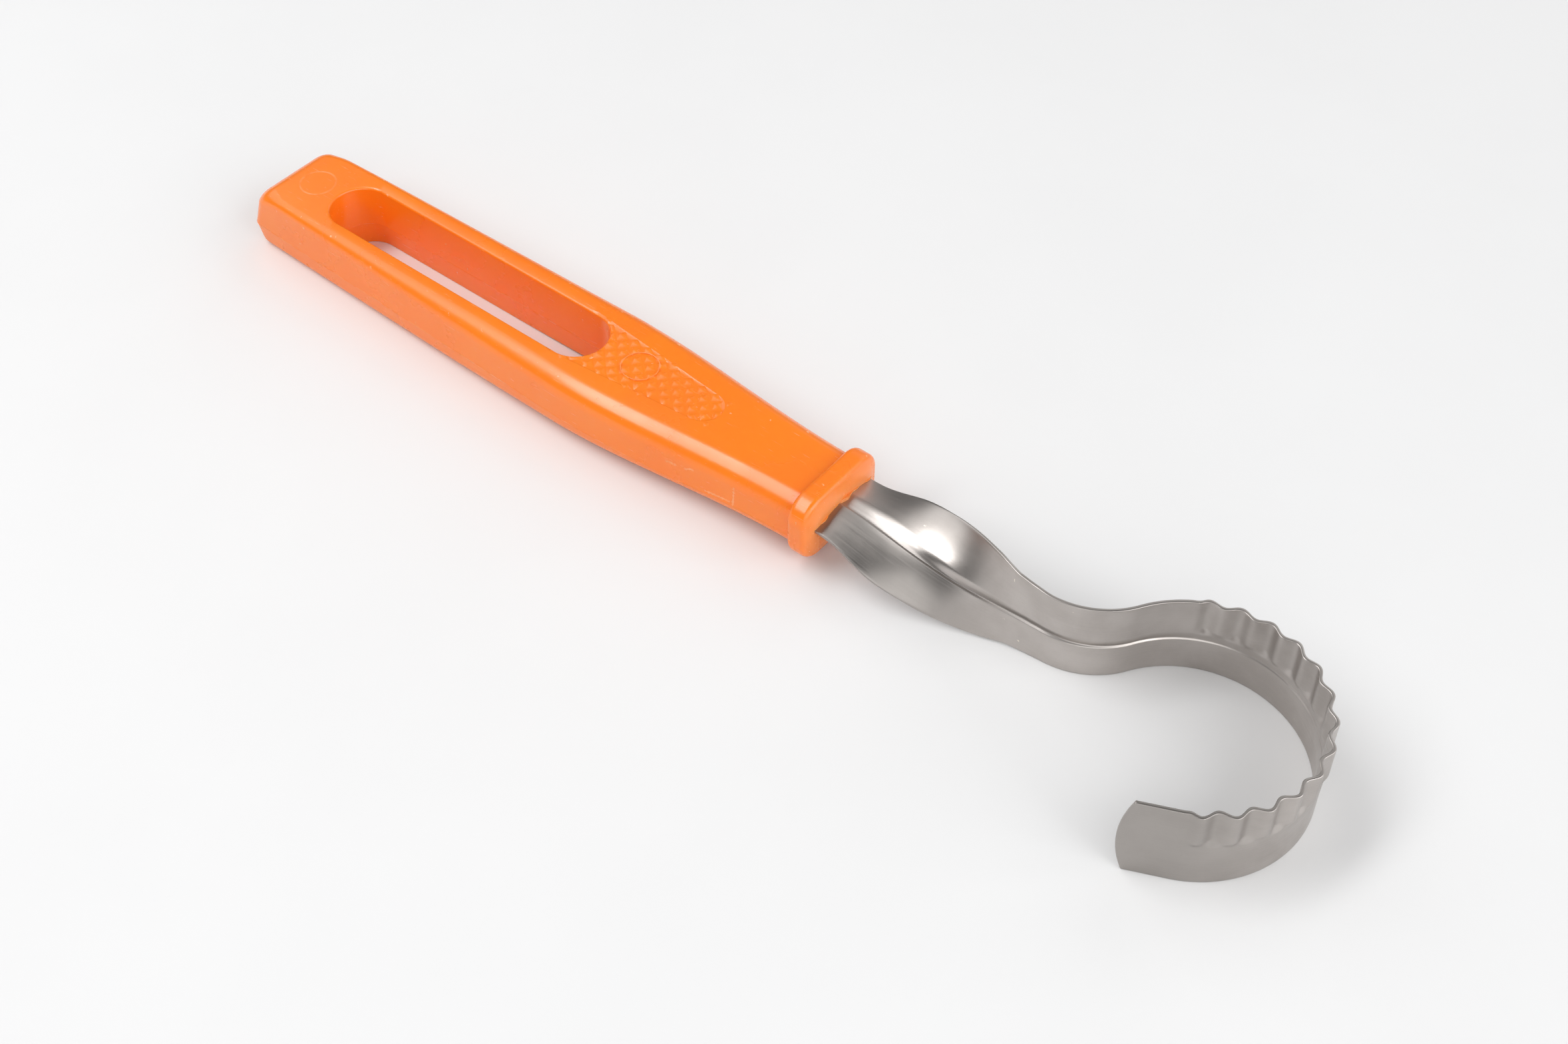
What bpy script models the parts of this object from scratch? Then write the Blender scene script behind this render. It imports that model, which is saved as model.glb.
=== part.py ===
"""Butter curler: a fluted steel hook moulded into a slotted plastic handle.

Units are metres and +Z is up. The tool lies on the plane z = 0, with the handle along X and the hook
at +X. The pieces are drawn from the middle of the collar, and one empty carries them all to the tool's
origin: the middle of the flat land under the handle's far end.
"""
from math import atan2, ceil, copysign, cos, pi, radians, sin

import bmesh
import bpy
from mathutils import Matrix, Vector

# Clearance between the steel and the plastic moulded round it
GAP = 0.0003

# Handle body, seen from above and from the side
HANDLE_LENGTH = 0.1104        # from the middle of the collar to the far end
HANDLE_TOP = 0.0106           # height of the flat top
BELLY_WIDTH = 0.0193          # widest place, beside the slot's front end
REAR_WIDTH = 0.0153
FRONT_WIDTH = 0.0141
FRONT_LIFT = 0.0021           # how far the underside rises towards the collar
PARTING_HEIGHT = 0.0036       # level of the mould's parting line, where the sides are widest
TOP_DRAFT = 0.0003            # how far each side leans in from there to the top
BOTTOM_DRAFT = 0.0002
END_DRAFT = 0.0031
EDGE_RADIUS = 0.0022

# Hanging slot through the handle
SLOT_WIDTH = 0.0092
SLOT_FRONT = 0.0422           # from the middle of the collar to the slot's front end
SLOT_END_WALL = 0.0137        # plastic left between the slot and the far end
SLOT_RIM = 0.0005             # rounding of the slot's top rim

# Recessed thumb patch that runs from the slot towards the collar
PATCH_LAND = 0.0199           # from the middle of the collar to the patch's front end
PATCH_FRONT_WIDTH = 0.0060
PATCH_MARGIN = 0.0007         # how far the patch reaches past the slot on each side
PATCH_DEPTH = 0.0004

# Round marks that the mould's ejector pins leave
MARK_RADIUS = 0.0029
MARK_DEPTH = 0.00015
REAR_MARK_INSET = 0.0086      # from the far end to the middle of the rear mark
PATCH_MARK_INSET = 0.0149     # from the patch's front end to the middle of the patch mark

# Collar at the front of the handle
COLLAR_LENGTH = 0.0037
COLLAR_PROUD = 0.00105        # how far the collar stands out all round the front of the body
COLLAR_CORNER = 0.0032
COLLAR_EDGE = 0.0009
COLLAR_DISH = 0.0006          # depth of the hollow in the collar's front face
COLLAR_RIM = 0.0012           # width of the rim round that hollow

# Steel strip
STRIP_WIDTH = 0.0135
STRIP_THICKNESS = 0.0005
NECK_WIDTH = 0.0123           # width where the strip leaves the collar
NECK_LENGTH = 0.0036          # from the middle of the collar to where the strip starts to widen
LEAF_WIDTH = 0.0138           # widest place, between the neck and the twist
LEAF_PLACE = 0.0115
LEAF_RUN_OUT = 0.0050         # length over which the leaf goes back to the strip's own width
LEAF_RISE = 0.00025           # how much higher the neck lies than the hook's middle
LEAVE_ANGLE = radians(-0.75)  # direction in which the strip leaves the handle
STAND_TILT = radians(91.5)    # turn of the strip's width along the hook, where it stands on edge
WAIST_PLACE = 0.0297          # slight waist where the leaf ends
WAIST_REACH = 0.0035
WAIST_DEPTH = 0.0006
TWIST_START = 0.0014
TWIST_END = 0.0358
STRAIGHT_LENGTH = 0.03425     # from the middle of the collar to the first bend
BEND_RADIUS = 0.0120
BEND_ANGLE = radians(58.5)
HOOK_RADIUS = 0.0161
HOOK_ANGLE = radians(213.2)
TIP_LENGTH = 0.0070
TIP_BULGE = 0.00135           # roundness of the tip's end

# Flutes pressed into the upper edge of the hook
FLUTE_OFFSET = 0.0068         # from the start of the hook to the first flute
FLUTE_PITCH = 0.00409
FLUTE_COUNT = 13
FLUTE_DEPTH = 0.00033
FLUTE_FLOOR = 0.08            # where the flutes run out, as a share of half the width
FLUTE_FULL = 0.32             # where they have their full depth

# Arched leaf, with a stiffening channel pressed along its middle
ARCH_HEIGHT = 0.0012
ARCH_POWER = 1.4              # 2 gives a round arch, 1 a roof
ARCH_RUN_OUT = 0.0240         # length over which the arch flattens, from the leaf's widest place on
CHANNEL_MIDDLE = 0.0003       # from the strip's middle line, towards the upper edge
CHANNEL_HALF_WIDTH = 0.0013
CHANNEL_DEPTH = 0.0005
CHANNEL_RUN_OUT = 0.0700      # length over which the channel fades, from the collar on

# Tang inside the handle, held by plastic pins through its anchor holes
TANG_WIDTH = 0.0086
TANG_SHOULDER = 0.0050        # from the middle of the collar back to where the tang widens
TANG_TAPER = 0.0060           # length over which it widens to the neck
TANG_END_WALL = 0.0060        # plastic left between the tang and the slot
ANCHOR_RADIUS = 0.0016
ANCHOR_COUNT = 2
ANCHOR_PITCH = 0.0110

# Fineness of the mesh, and how far a cutter runs past the faces it cuts
CURVE_STEP = 0.0013
TANG_STEP = 0.0040
FLUTE_STEPS = 6               # steps along one flute
BODY_STATIONS = 14
ROUND_SEGMENTS = 32
EDGE_SEGMENTS = 4
CORNER_SEGMENTS = 6
RIM_SEGMENTS = 3
SHARP_ANGLE = radians(35)     # edges bent more than this stay sharp
CUT_REACH = 0.0100
STRIP_COLUMNS = (-1.0, -0.75, -0.5, -0.3, -0.15, -0.06, 0.01, 0.08, 0.15, 0.24, 0.4, 0.6, 0.8, 1.0)

# Sizes that follow from the ones above
COLLAR_FACE = COLLAR_LENGTH / 2
COLLAR_WIDTH = FRONT_WIDTH + 2 * COLLAR_PROUD
COLLAR_HEIGHT = HANDLE_TOP - FRONT_LIFT + 2 * COLLAR_PROUD
COLLAR_MIDDLE = (HANDLE_TOP + FRONT_LIFT) / 2
SLOT_REAR = HANDLE_LENGTH - SLOT_END_WALL
STRIP_HEIGHT = STRIP_WIDTH / 2
TANG_END = SLOT_FRONT - TANG_END_WALL
BEND_START = STRAIGHT_LENGTH
HOOK_START = BEND_START + BEND_RADIUS * BEND_ANGLE
TIP_START = HOOK_START + HOOK_RADIUS * HOOK_ANGLE
STRIP_END = TIP_START + TIP_LENGTH
FLUTE_START = HOOK_START + FLUTE_OFFSET
FLUTE_END = FLUTE_START + FLUTE_COUNT * FLUTE_PITCH


def ease(value):
    """Go from 0 to 1 with a level start and end, and stay there outside that range."""
    value = min(max(value, 0.0), 1.0)
    return value * value * (3 - 2 * value)


def clear_scene():
    for item in list(bpy.data.objects):
        bpy.data.objects.remove(item, do_unlink=True)


def new_collection(name):
    collection = bpy.data.collections.new(name)
    bpy.context.scene.collection.children.link(collection)
    return collection


def new_material(name, color, roughness, metallic):
    material = bpy.data.materials.new(name)
    material.use_nodes = True
    shader = material.node_tree.nodes["Principled BSDF"]
    shader.inputs["Base Color"].default_value = (*color, 1.0)
    shader.inputs["Roughness"].default_value = roughness
    shader.inputs["Metallic"].default_value = metallic
    material.diffuse_color = (*color, 1.0)
    return material


def add_object(name, work, collection, material=None):
    """Turn a bmesh into an object of the given collection."""
    bmesh.ops.recalc_face_normals(work, faces=work.faces)
    mesh = bpy.data.meshes.new(name)
    work.to_mesh(mesh)
    work.free()
    mesh.shade_smooth()
    mesh.set_sharp_from_angle(angle=SHARP_ANGLE)
    item = bpy.data.objects.new(name, mesh)
    collection.objects.link(item)
    if material:
        mesh.materials.append(material)
    return item


def add_cutter(name, work, collection):
    item = add_object(name, work, collection)
    item.hide_render = True
    item.display_type = 'WIRE'
    return item


def add_boolean(item, operand, operation):
    modifier = item.modifiers.new(operand.name, 'BOOLEAN')
    modifier.operation = operation
    modifier.solver = 'EXACT'
    modifier.object = operand


# Handle

def body_half_width(x):
    """Half the width at the parting line: straight to the belly, then an easy curve to the collar."""
    belly = -SLOT_FRONT - SLOT_RIM
    if x < belly:
        share = (x + HANDLE_LENGTH) / (belly + HANDLE_LENGTH)
        return (REAR_WIDTH + (BELLY_WIDTH - REAR_WIDTH) * share) / 2
    share = (x - belly) / -belly
    return (BELLY_WIDTH + (FRONT_WIDTH - BELLY_WIDTH) * (1 - cos(pi * share)) / 2) / 2


def body_floor(x):
    """Height of the underside, flat at the rear and rising towards the collar."""
    middle = -(SLOT_FRONT + SLOT_REAR) / 2
    return FRONT_LIFT * ease((x - middle) / -middle)


def make_body(collection, material):
    """A box cut into stations, whose corners follow the plan, with every long edge rounded."""
    work = bmesh.new()
    bmesh.ops.create_cube(work, size=1.0)
    step = 1.0 / BODY_STATIONS
    for index in range(1, BODY_STATIONS):
        geometry = work.verts[:] + work.edges[:] + work.faces[:]
        place = Vector((-0.5 + index * step, 0, 0))
        bmesh.ops.bisect_plane(work, geom=geometry, plane_co=place, plane_no=Vector((1, 0, 0)))
    geometry = work.verts[:] + work.edges[:] + work.faces[:]
    bmesh.ops.bisect_plane(work, geom=geometry, plane_co=Vector(), plane_no=Vector((0, 0, 1)))
    for vert in work.verts:
        x = (vert.co.x - 0.5) * HANDLE_LENGTH
        half = body_half_width(x)
        floor = body_floor(x)
        rear = vert.co.x < -0.499
        if vert.co.z > 0.25:
            z = HANDLE_TOP
            half -= TOP_DRAFT
            x += END_DRAFT if rear else 0.0
        elif vert.co.z < -0.25:
            z = floor
            half -= BOTTOM_DRAFT
            x += BOTTOM_DRAFT if rear else 0.0
        else:
            z = max(PARTING_HEIGHT, floor + EDGE_RADIUS)
        vert.co = (x, copysign(half, vert.co.y), z)
    body = add_object("handle", work, collection, material)
    bevel = body.modifiers.new("rounded_edges", 'BEVEL')
    bevel.width = EDGE_RADIUS
    bevel.segments = EDGE_SEGMENTS
    bevel.limit_method = 'ANGLE'
    bevel.angle_limit = SHARP_ANGLE
    return body


def make_collar(collection):
    """A rounded plate with a shallow hollow in its front face."""
    work = bmesh.new()
    bmesh.ops.create_cube(work, size=1.0)
    bmesh.ops.scale(work, vec=(COLLAR_LENGTH, COLLAR_WIDTH, COLLAR_HEIGHT), verts=work.verts)
    bmesh.ops.translate(work, vec=(0, 0, COLLAR_MIDDLE), verts=work.verts)
    corners = [edge for edge in work.edges
               if abs(edge.verts[0].co.x - edge.verts[1].co.x) > COLLAR_LENGTH / 2]
    bmesh.ops.bevel(work, geom=corners, offset=COLLAR_CORNER, affect='EDGES', segments=CORNER_SEGMENTS,
                    profile=0.5, material=-1)
    rims = [edge for edge in work.edges
            if abs(edge.verts[0].co.x - edge.verts[1].co.x) < COLLAR_LENGTH / 2]
    bmesh.ops.bevel(work, geom=rims, offset=COLLAR_EDGE, affect='EDGES', segments=RIM_SEGMENTS,
                    profile=0.5, material=-1)
    front = max(work.faces, key=lambda face: face.calc_center_median().x)
    bmesh.ops.inset_region(work, faces=[front], thickness=COLLAR_RIM)
    bmesh.ops.translate(work, vec=(-COLLAR_DISH, 0, 0), verts=front.verts)
    return add_cutter("collar", work, collection)


def stadium(work, rear, front, levels):
    """Make a round bar and pull it into a slot shape: levels gives (height, rear and front radius)."""
    made = bmesh.ops.create_cone(work, cap_ends=True, segments=ROUND_SEGMENTS, radius1=1, radius2=1,
                                 depth=1)
    top = next(face for face in work.faces if face.normal.z > 0.9)
    verts = list(made["verts"])
    rings = [[vert for vert in verts if vert.co.z < 0], [vert for vert in verts if vert.co.z > 0]]
    for _ in levels[2:]:
        result = bmesh.ops.extrude_discrete_faces(work, faces=[top])
        top = result["faces"][0]
        rings.append(list(top.verts))
    for ring, (height, rear_radius, front_radius) in zip(rings, levels):
        for vert in ring:
            angle = atan2(vert.co.y, vert.co.x)
            ahead = cos(angle) > -1e-6
            radius = front_radius if ahead else rear_radius
            centre = -front if ahead else -rear
            vert.co = (centre + radius * cos(angle), radius * sin(angle), height)


def make_slot(collection):
    """The hanging slot, flared at its top rim by a quarter round."""
    radius = SLOT_WIDTH / 2
    levels = [(-CUT_REACH, radius, radius), (HANDLE_TOP - SLOT_RIM, radius, radius)]
    for index in range(RIM_SEGMENTS):
        angle = radians(90) * (index + 1) / RIM_SEGMENTS
        flare = radius + SLOT_RIM * (1 - cos(angle))
        levels.append((HANDLE_TOP - SLOT_RIM * (1 - sin(angle)), flare, flare))
    levels.append((HANDLE_TOP + CUT_REACH, radius + SLOT_RIM, radius + SLOT_RIM))
    work = bmesh.new()
    stadium(work, SLOT_REAR - radius, SLOT_FRONT + radius, levels)
    return add_cutter("slot", work, collection)


def make_patch(collection):
    """The thumb patch: a tapered slot shape that starts round the hanging slot's front end."""
    rear_radius = SLOT_WIDTH / 2 + PATCH_MARGIN
    front_radius = PATCH_FRONT_WIDTH / 2
    levels = [(HANDLE_TOP - PATCH_DEPTH, rear_radius, front_radius),
              (HANDLE_TOP + CUT_REACH, rear_radius, front_radius)]
    work = bmesh.new()
    stadium(work, SLOT_FRONT + SLOT_WIDTH / 2, PATCH_LAND + front_radius, levels)
    return add_cutter("patch", work, collection)


def make_mark(collection, name, x, face_height):
    work = bmesh.new()
    place = Matrix.Translation((x, 0, face_height - MARK_DEPTH + CUT_REACH / 2))
    bmesh.ops.create_cone(work, cap_ends=True, segments=ROUND_SEGMENTS, radius1=MARK_RADIUS,
                          radius2=MARK_RADIUS, depth=CUT_REACH, matrix=place)
    return add_cutter(name, work, collection)


# Steel strip

def strip_path(s):
    """Place and heading of the strip's middle line, s metres from the middle of the collar."""
    straight = min(s, BEND_START)
    x = straight * cos(LEAVE_ANGLE)
    y = straight * sin(LEAVE_ANGLE)
    heading = LEAVE_ANGLE
    bends = ((BEND_START, HOOK_START, BEND_RADIUS), (HOOK_START, TIP_START, -HOOK_RADIUS))
    for start, end, radius in bends:
        turn = (min(max(s, start), end) - start) / radius
        x += radius * (sin(heading + turn) - sin(heading))
        y += radius * (cos(heading) - cos(heading + turn))
        heading += turn
    tip = max(s - TIP_START, 0.0)
    return x + tip * cos(heading), y + tip * sin(heading), heading


def strip_tilt(s):
    """Turn of the strip's width: level in the handle, on edge along the hook."""
    return STAND_TILT * ease((s - TWIST_START) / (TWIST_END - TWIST_START))


def strip_height(s):
    return STRIP_HEIGHT + LEAF_RISE * (1 - ease((s - TWIST_START) / LEAF_PLACE))


def out_of_tang(s):
    """0 along the flat tang and 1 from the collar on."""
    return ease((s + TANG_SHOULDER) / TANG_TAPER)


def strip_width(s):
    tang = TANG_WIDTH + (NECK_WIDTH - TANG_WIDTH) * out_of_tang(s)
    leaf = (LEAF_WIDTH - NECK_WIDTH) * ease((s - NECK_LENGTH) / (LEAF_PLACE - NECK_LENGTH))
    back = (LEAF_WIDTH - STRIP_WIDTH) * ease((s - LEAF_PLACE) / LEAF_RUN_OUT)
    waist = WAIST_DEPTH * max(0.0, 1 - abs(s - WAIST_PLACE) / WAIST_REACH)
    return tang + leaf - back - waist


def arch_height(s, across):
    """Arch of the leaf, which leaves both edges of the strip where they are."""
    fade = out_of_tang(s) * (1 - ease((s - LEAF_PLACE) / ARCH_RUN_OUT))
    return ARCH_HEIGHT * fade * (1 - abs(across) ** ARCH_POWER)


def channel_depth(s, offset):
    """Round channel along the middle, which fades out from the collar to the hook."""
    fade = out_of_tang(s) * (1 - ease((s - COLLAR_FACE) / CHANNEL_RUN_OUT))
    share = min(abs(offset - CHANNEL_MIDDLE) / CHANNEL_HALF_WIDTH, 1.0)
    return CHANNEL_DEPTH * fade * (1 + cos(pi * share)) / 2


def flute_height(s, across):
    """Wave of the flutes, deepest along the upper edge."""
    fade = ease((s - FLUTE_START) / (FLUTE_PITCH / 2)) * ease((FLUTE_END - s) / (FLUTE_PITCH / 2))
    reach = ease((across - FLUTE_FLOOR) / (FLUTE_FULL - FLUTE_FLOOR))
    return FLUTE_DEPTH * fade * reach * cos(2 * pi * (s - FLUTE_START) / FLUTE_PITCH)


def strip_point(s, across, extra=0.0):
    """Point of the strip's middle surface: across runs from -1 at the lower edge to 1 at the upper."""
    x, y, heading = strip_path(s)
    tilt = strip_tilt(s)
    left = Vector((-sin(heading), cos(heading), 0))
    up = Vector((0, 0, 1))
    sideways = cos(tilt) * left + sin(tilt) * up
    normal = cos(tilt) * up - sin(tilt) * left
    offset = across * (strip_width(s) / 2 + extra)
    height = arch_height(s, across) - channel_depth(s, offset) + flute_height(s, across)
    return Vector((x, y, strip_height(s))) + offset * sideways + height * normal


def stations(start, end, step):
    """Even steps from start up to, but not including, end."""
    count = max(1, ceil((end - start) / step - 1e-6))
    return [start + (end - start) * index / count for index in range(count)]


def make_sheet(places, extra=0.0):
    """A grid whose rows follow the strip: one row per place, one column per share of the width."""
    rows = len(places) - 1
    columns = len(STRIP_COLUMNS) - 1
    work = bmesh.new()
    bmesh.ops.create_grid(work, x_segments=rows, y_segments=columns, size=1.0)
    for vert in work.verts:
        s = places[round((vert.co.x + 1) / 2 * rows)]
        across = STRIP_COLUMNS[round((vert.co.y + 1) / 2 * columns)]
        s -= TIP_BULGE * across * across * ease((s - TIP_START) / TIP_LENGTH)
        vert.co = strip_point(s, across, extra)
    return work


def add_thickness(item, thickness):
    solid = item.modifiers.new("sheet_metal", 'SOLIDIFY')
    solid.thickness = thickness
    solid.offset = 0.0
    solid.use_even_offset = True


def make_blade(collection, material):
    places = stations(-TANG_END, -TANG_SHOULDER, TANG_STEP)
    places += stations(-TANG_SHOULDER, FLUTE_START, CURVE_STEP)
    places += stations(FLUTE_START, FLUTE_END, FLUTE_PITCH / FLUTE_STEPS)
    places += stations(FLUTE_END, STRIP_END, CURVE_STEP) + [STRIP_END]
    blade = add_object("blade", make_sheet(places), collection, material)
    add_thickness(blade, STRIP_THICKNESS)
    return blade


def make_pocket(collection):
    """The room that the tang fills: the same sheet, wider and thicker by the clearance."""
    places = stations(-TANG_END - GAP, -TANG_SHOULDER, TANG_STEP)
    places += stations(-TANG_SHOULDER, 2 * COLLAR_FACE, CURVE_STEP) + [2 * COLLAR_FACE]
    pocket = add_cutter("pocket", make_sheet(places, GAP), collection)
    add_thickness(pocket, STRIP_THICKNESS + 2 * GAP)
    return pocket


def make_anchors(collection, name, radius):
    """Upright bars through the tang, as holes in the steel or as the plastic pins left in them."""
    work = bmesh.new()
    first = -TANG_END + ANCHOR_PITCH / 2
    for index in range(ANCHOR_COUNT):
        x, y, _ = strip_path(first + index * ANCHOR_PITCH)
        place = Matrix.Translation((x, y, strip_height(0.0)))
        bmesh.ops.create_cone(work, cap_ends=True, segments=ROUND_SEGMENTS // 2, radius1=radius,
                              radius2=radius, depth=CUT_REACH, matrix=place)
    return add_cutter(name, work, collection)


def main():
    clear_scene()
    parts = new_collection("butter_curler")
    cutters = new_collection("cutters")
    orange = new_material("orange_plastic", (1.0, 0.215, 0.014), 0.38, 0.0)
    steel = new_material("stainless_steel", (0.50, 0.48, 0.45), 0.30, 1.0)

    blade = make_blade(parts, steel)
    add_boolean(blade, make_anchors(cutters, "anchor_holes", ANCHOR_RADIUS), 'DIFFERENCE')

    pocket = make_pocket(cutters)
    add_boolean(pocket, make_anchors(cutters, "anchor_pins", ANCHOR_RADIUS - GAP), 'DIFFERENCE')

    handle = make_body(parts, orange)
    add_boolean(handle, make_collar(cutters), 'UNION')
    add_boolean(handle, make_slot(cutters), 'DIFFERENCE')
    add_boolean(handle, make_patch(cutters), 'DIFFERENCE')
    rear_mark = make_mark(cutters, "rear_mark", REAR_MARK_INSET - HANDLE_LENGTH, HANDLE_TOP)
    add_boolean(handle, rear_mark, 'DIFFERENCE')
    patch_mark = make_mark(cutters, "patch_mark", -PATCH_LAND - PATCH_MARK_INSET,
                           HANDLE_TOP - PATCH_DEPTH)
    add_boolean(handle, patch_mark, 'DIFFERENCE')
    add_boolean(handle, pocket, 'DIFFERENCE')

    origin = bpy.data.objects.new("butter_curler", None)
    origin.location.x = HANDLE_LENGTH - SLOT_END_WALL / 2
    parts.objects.link(origin)
    for item in [*parts.objects, *cutters.objects]:
        if item != origin:
            item.parent = origin


main()
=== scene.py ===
# %% [markdown]
# # A butter curler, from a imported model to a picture
# The tool is one strip of stainless steel, twisted and bent into a fluted hook, whose tail is moulded
# into an orange plastic handle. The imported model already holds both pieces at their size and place.
# Here each one is drawn again with a finer surface, in the same frame, and then gets its finish.

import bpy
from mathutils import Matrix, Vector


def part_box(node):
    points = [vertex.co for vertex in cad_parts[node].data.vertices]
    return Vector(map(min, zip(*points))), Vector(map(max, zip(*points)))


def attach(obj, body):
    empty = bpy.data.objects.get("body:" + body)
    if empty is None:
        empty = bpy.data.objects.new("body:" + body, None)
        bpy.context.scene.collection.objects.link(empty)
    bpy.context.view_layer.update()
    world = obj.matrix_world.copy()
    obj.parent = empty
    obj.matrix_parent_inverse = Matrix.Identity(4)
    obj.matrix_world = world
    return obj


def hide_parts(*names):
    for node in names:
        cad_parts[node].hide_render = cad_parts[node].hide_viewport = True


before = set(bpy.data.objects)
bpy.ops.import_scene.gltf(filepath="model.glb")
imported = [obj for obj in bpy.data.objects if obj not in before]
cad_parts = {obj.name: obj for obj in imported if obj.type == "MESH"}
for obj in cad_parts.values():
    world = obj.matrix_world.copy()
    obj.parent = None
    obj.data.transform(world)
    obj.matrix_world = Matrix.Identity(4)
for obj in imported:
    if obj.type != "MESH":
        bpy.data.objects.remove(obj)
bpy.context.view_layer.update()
print("nodes of the model:", sorted(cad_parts))

# %% [markdown]
# All places are in metres, but a maker thinks of such a tool in millimetres, so sizes are written as
# a number times MM. Two places give the frame: the middle of the collar, where the steel leaves the
# plastic, and the handle's far end. Both are read from the model, so the new pieces go where it says.

# %% Places and sizes that the model gives
from math import atan2, ceil, cos, pi, radians, sin

import bmesh
import bpy
from mathutils import Matrix, Vector

MM = 0.001
handle_low, handle_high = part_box("handle")
COLLAR_LENGTH = 3.7 * MM
COLLAR_PROUD = 1.05 * MM
COLLAR_X = handle_high.x - COLLAR_LENGTH / 2
FAR_END_X = handle_low.x
HANDLE_TOP = handle_high.z - COLLAR_PROUD
print("collar at x", round(COLLAR_X, 5), "far end at x", round(FAR_END_X, 5))


# %% Small helpers
def ease(value):
    """Go from 0 to 1 with a level start and end, and stay there outside that range."""
    value = min(max(value, 0.0), 1.0)
    return value * value * (3 - 2 * value)


def even_steps(start, end, step):
    """Even steps from start up to, but not including, end."""
    count = max(1, ceil((end - start) / step - 1e-6))
    return [start + (end - start) * index / count for index in range(count)]


def add_object(name, work):
    """Turn a bmesh into an object at the origin, with its faces pointing out."""
    bmesh.ops.recalc_face_normals(work, faces=work.faces)
    open_edges = sum(not edge.is_manifold for edge in work.edges)
    if open_edges == 0 and work.calc_volume(signed=True) < 0:
        bmesh.ops.reverse_faces(work, faces=work.faces)
    mesh = bpy.data.meshes.new(name)
    work.to_mesh(mesh)
    work.free()
    item = bpy.data.objects.new(name, mesh)
    bpy.context.scene.collection.objects.link(item)
    print(name, len(mesh.vertices), "vertices", len(mesh.polygons), "faces", open_edges, "open edges")
    return item


# %% [markdown]
# ## The handle's outline
# The handle is a solid moulding with a flat top. Seen from above it widens slowly to a belly beside
# the thumb patch and then draws in to the collar. Its underside is flat at the far end and rises
# towards the collar. A box with bevelled edges would give one radius everywhere, but the real edges
# are tight at the far end and broader at the front, so the body is lofted: one outline per station
# along the handle, all with the same number of points.

# %% Width and floor of the handle along its length
REAR_WIDTH = 15.3 * MM
BELLY_WIDTH = 19.3 * MM
FRONT_WIDTH = 14.1 * MM
FRONT_LIFT = 2.1 * MM
SLOT_FRONT = 42.2 * MM
SLOT_END_WALL = 13.7 * MM
BELLY_X = COLLAR_X - SLOT_FRONT - 0.5 * MM
LIFT_X = (FAR_END_X + SLOT_END_WALL + COLLAR_X - SLOT_FRONT) / 2


def handle_half_width(x):
    """Half the width at the parting line: straight to the belly, then an easy curve to the collar."""
    if x < BELLY_X:
        share = (x - FAR_END_X) / (BELLY_X - FAR_END_X)
        return (REAR_WIDTH + (BELLY_WIDTH - REAR_WIDTH) * share) / 2
    share = (x - BELLY_X) / (COLLAR_X - BELLY_X)
    return (BELLY_WIDTH + (FRONT_WIDTH - BELLY_WIDTH) * (1 - cos(pi * share)) / 2) / 2


def handle_floor(x):
    """Height of the underside, flat at the far end and rising towards the collar."""
    return FRONT_LIFT * ease((x - LIFT_X) / (COLLAR_X - LIFT_X))


# %% One outline of the handle
PARTING_HEIGHT = 3.7 * MM
PARTING_RIDGE = 0.06 * MM
PARTING_HALF = 0.10 * MM
TOP_DRAFT = 0.3 * MM
BOTTOM_DRAFT = 0.2 * MM
END_DRAFT = 4.6 * MM
END_BULGE = 0.45
DRAFT_REACH = 16.0 * MM
ARC_STEPS = 10


def shoulder_radius(x):
    """Rounding of the top's long edges, tight at the far end and broader at the front."""
    share = ease((x - FAR_END_X) / (COLLAR_X - 25 * MM - FAR_END_X))
    corner = 1 - ease((x - FAR_END_X) / (6 * MM))
    return (1.3 + 1.7 * share + 1.3 * corner) * MM


def foot_radius(x):
    """Rounding of the underside's long edges."""
    return (1.1 + 0.9 * ease((x - FAR_END_X) / (BELLY_X - FAR_END_X))) * MM


def shoulder_crease(x):
    """Slight crease between the shoulder and the flat top, near the front."""
    return radians(8) * ease((x - BELLY_X + 20 * MM) / (25 * MM))


def handle_outline(x, inset):
    """Points round the handle at x, drawn in by inset, from the underside's far edge upwards."""
    half = handle_half_width(x) - inset
    low = handle_floor(x) + inset
    high = HANDLE_TOP - inset
    foot = max(foot_radius(x) - inset, 0.2 * MM)
    shoulder = max(shoulder_radius(x) - inset, 0.2 * MM)
    turn = radians(90) - shoulder_crease(x)
    parting = max(PARTING_HEIGHT, low + foot + PARTING_HALF)
    side = []
    for step in range(ARC_STEPS + 1):
        angle = radians(90) * step / ARC_STEPS
        side.append((half - foot * (1 - sin(angle)), low + foot * (1 - cos(angle))))
    for level, out in ((-1, 0), (0, 1), (1, 0)):
        side.append((half + out * PARTING_RIDGE, parting + level * PARTING_HALF))
    for step in range(ARC_STEPS + 1):
        angle = turn * step / ARC_STEPS
        side.append((half - shoulder * (1 - cos(angle)), high - shoulder * (sin(turn) - sin(angle))))
    points = []
    lean = 1 - ease((x - FAR_END_X) / DRAFT_REACH)
    for y, z in side:
        over = max(z - parting, 0.0) / (HANDLE_TOP - parting)
        under = max(parting - z, 0.0) / parting
        level = (z - parting) / (HANDLE_TOP - parting)
        bulge = (level * level + END_BULGE * END_BULGE) ** 0.5 - END_BULGE
        points.append((x + lean * END_DRAFT * bulge, y - TOP_DRAFT * over - BOTTOM_DRAFT * under, z))
    return points + [(x, -y, z) for x, y, z in reversed(points)]


print("points in one outline:", len(handle_outline(COLLAR_X, 0.0)))

# %% Loft the body through its stations
END_ROUND = 2.0 * MM
END_STEPS = 7
BODY_STEP = 1.5 * MM


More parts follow.
